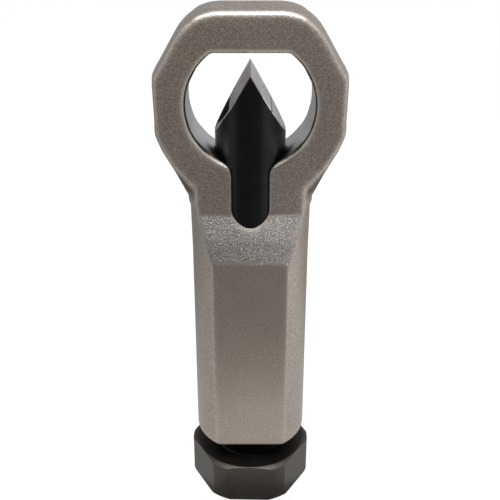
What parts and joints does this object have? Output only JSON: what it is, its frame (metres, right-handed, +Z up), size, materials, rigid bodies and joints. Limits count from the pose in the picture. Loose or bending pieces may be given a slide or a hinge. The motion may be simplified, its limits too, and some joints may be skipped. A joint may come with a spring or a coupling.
{
  "type": "nut splitter",
  "caption": "Nut splitter: a forged ring frame with a flat anvil, a sliding wedge-tipped chisel and a black hex-head pressure screw that drives it through a nut.",
  "frame": {"origin": "centre of the underside of the screw's hex head", "axes": "+Z up along the tool's axis towards the ring, -Y towards the front of the ring, +X to the right seen from the front"},
  "size_m": [0.0322, 0.0212, 0.0923],
  "materials": {
    "forged_steel": "satin, blasted",
    "black_tool_steel": "black oxide, ground tip",
    "black_screw_steel": "black oxide",
    "bright_steel": "polished",
    "spring_wire": "drawn"
  },
  "bodies": {
    "frame": {"body": "forged_steel", "guide_pin": "spring_wire"},
    "chisel": {"cutter": "black_tool_steel", "retaining_ring": "spring_wire"},
    "screw": {"pressure_screw": "black_screw_steel", "thrust_ball": "bright_steel"}
  },
  "joints": [
    {"name": "cutter_slide", "type": "slide", "parent": "frame", "child": "chisel", "axis": [0, 0, 1], "range_m": [-0.0145, 0.0031]},
    {"name": "screw_turn", "type": "hinge", "parent": "chisel", "child": "screw", "pos_m": [0, 0, 0.03], "axis": [0, 0, 1], "range_deg": [-3481, 745]}
  ],
  "couplings": [
    {"joint": "screw_turn", "follows": "cutter_slide", "rad_per_m": 4188.8}
  ]
}
